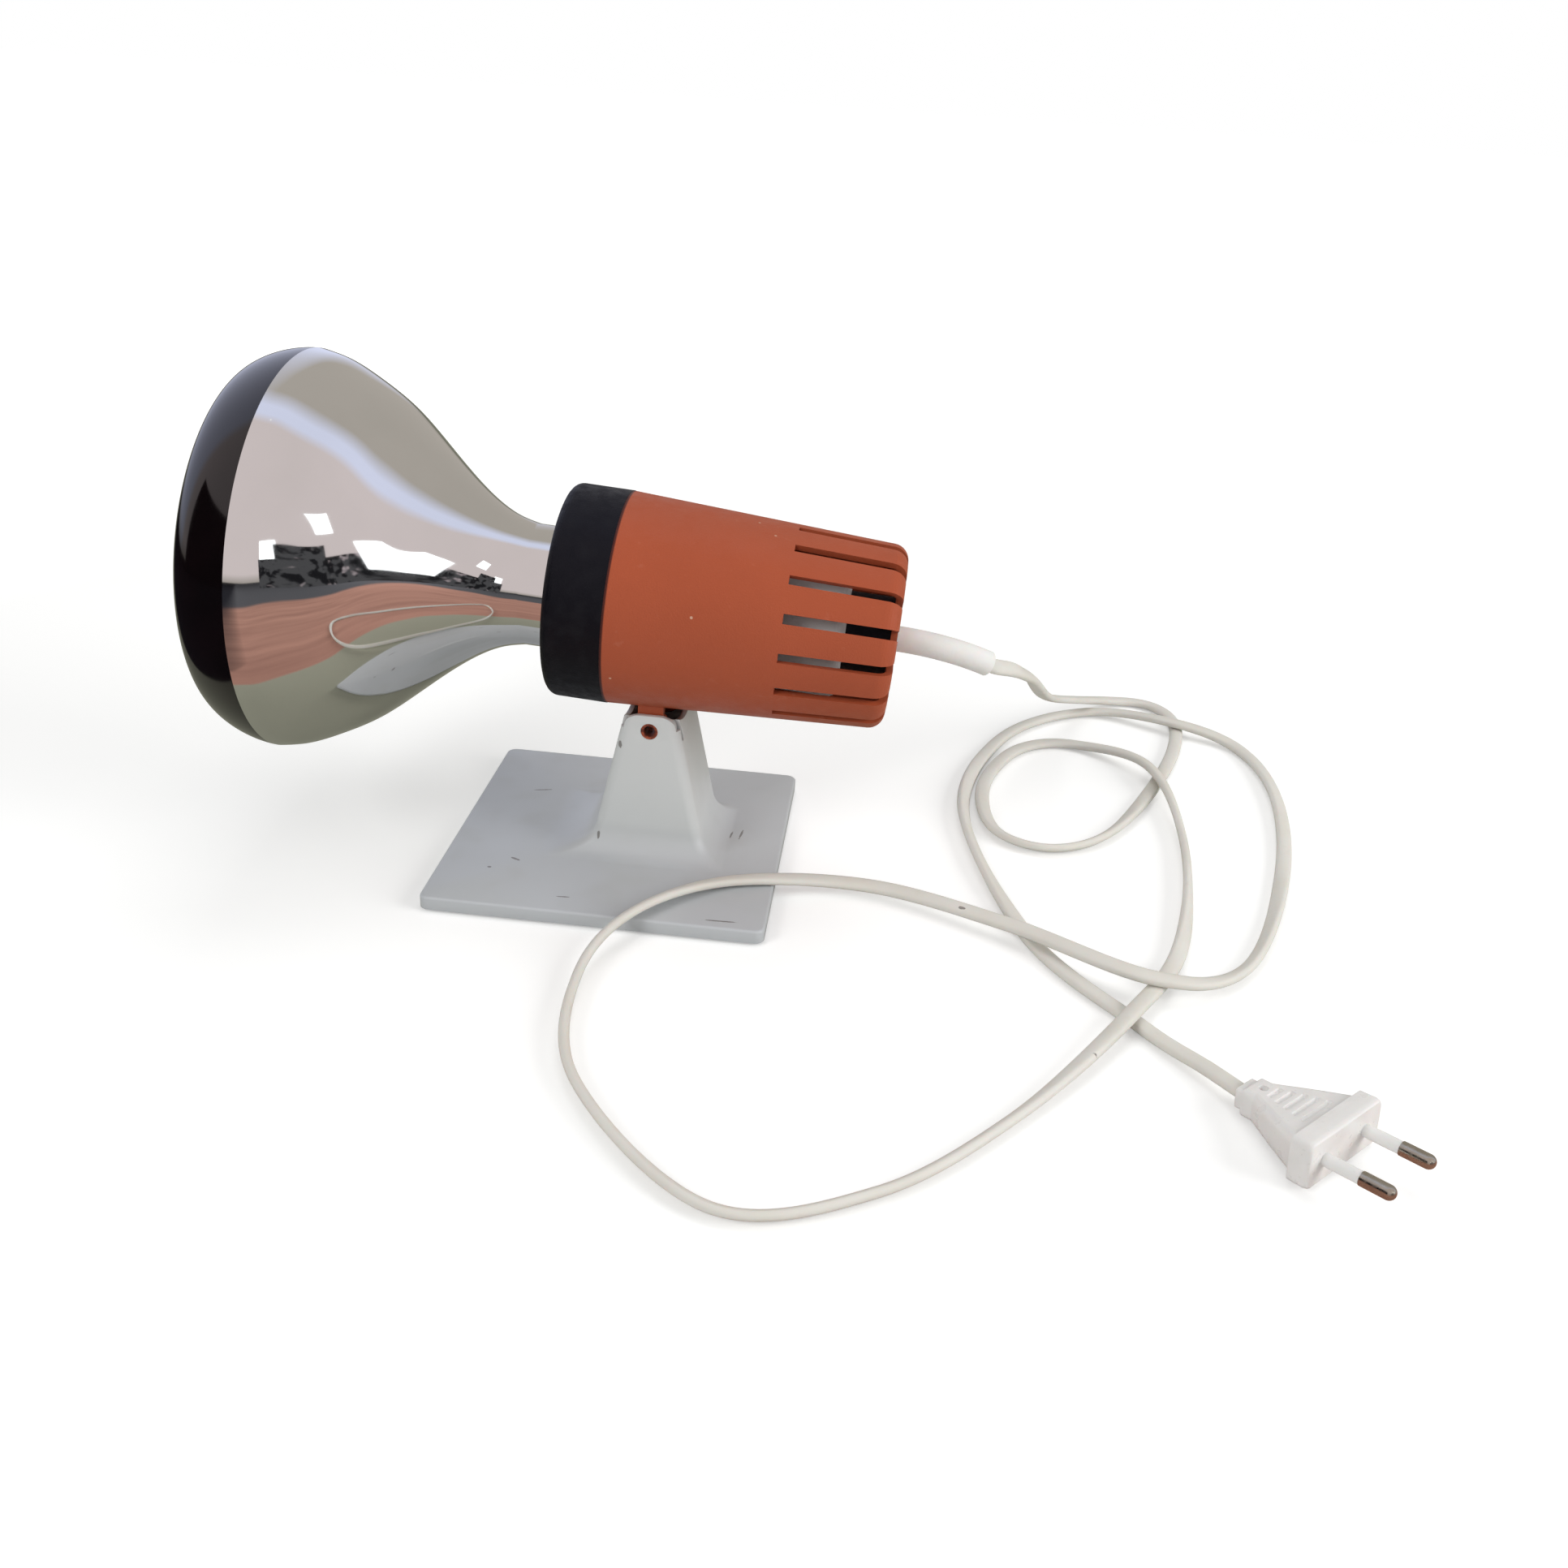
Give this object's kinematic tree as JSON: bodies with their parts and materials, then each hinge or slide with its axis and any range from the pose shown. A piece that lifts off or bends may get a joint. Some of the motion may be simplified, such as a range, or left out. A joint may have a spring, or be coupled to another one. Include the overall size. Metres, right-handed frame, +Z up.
{
  "type": "table spotlight",
  "caption": "Reflector-lamp spotlight: tapered slotted housing tilting on a square sheet-metal stand, with a flat cord and a plug.",
  "frame": {"origin": "middle of the square base plate, on the surface that the spotlight stands on", "axes": "+Z up, +X towards the end of the head where the cord leaves, the lamp shines towards -X, -Y is the side that the picture shows"},
  "size_m": [0.3684, 0.3352, 0.1566],
  "materials": {
    "white_lacquer": "semi-gloss lacquer with scratches and chips",
    "steel": "zinc plated",
    "felt": "dark felt",
    "terracotta_plastic": "fine matt terracotta brown",
    "black_plastic": "matt black",
    "silvered_glass": "mirror silvered inside the glass",
    "dark_glass": "glossy near-black front glass",
    "clear_glass": "clear",
    "tungsten": "dark grey wire",
    "cap_brass": "satin brass",
    "grey_plastic": "light grey heat-proof moulding",
    "porcelain": "glazed porcelain",
    "white_rubber": "soft semi-matt",
    "white_cord": "soft semi-matt",
    "brown_core": "satin",
    "blue_core": "satin",
    "white_plastic": "satin moulding",
    "nickel": "nickel plated"
  },
  "bodies": {
    "stand": {"stand": "white_lacquer", "ballast_plate": "steel", "felt_sheet": "felt", "cord": "white_cord", "plug_body": "white_plastic", "plug_pins": "nickel", "pin_sleeves": "white_plastic"},
    "head": {"housing": "terracotta_plastic", "collar_ring": "black_plastic", "holder_sleeve": "grey_plastic", "holder_cap": "grey_plastic", "holder_insert": "porcelain", "thread_shell": "cap_brass", "centre_contact": "cap_brass", "terminals": "cap_brass", "terminal_screws": "steel", "nipple": "steel", "nipple_nuts": "steel", "spacer_tube": "black_plastic", "bend_sleeve": "white_rubber", "inner_cord": "white_cord", "live_core": "brown_core", "neutral_core": "blue_core"},
    "lamp_travel": {"cap_contact": "steel"},
    "lamp": {"lamp_reflector": "silvered_glass", "lamp_front_glass": "dark_glass", "lamp_stem": "clear_glass", "filament": "tungsten", "filament_leads": "steel", "lamp_screw_cap": "cap_brass", "cap_insulator": "black_plastic"}
  },
  "joints": [
    {"name": "head_tilt", "type": "hinge", "parent": "stand", "child": "head", "pos_m": [0.011, 0, 0.051], "axis": [0, 1, 0], "range_deg": [-20, 20]},
    {"name": "lamp_unscrew", "type": "slide", "parent": "head", "child": "lamp_travel", "axis": [-0.9981, 0, 0.061], "range_m": [0, 0.018]},
    {"name": "lamp_turn", "type": "hinge", "parent": "lamp_travel", "child": "lamp", "pos_m": [-0.0014, 0, 0.0885], "axis": [-0.9981, 0, 0.061], "range_deg": [0, 1800]}
  ],
  "couplings": [
    {"joint": "lamp_turn", "follows": "lamp_unscrew", "rad_per_m": 1735.7}
  ]
}
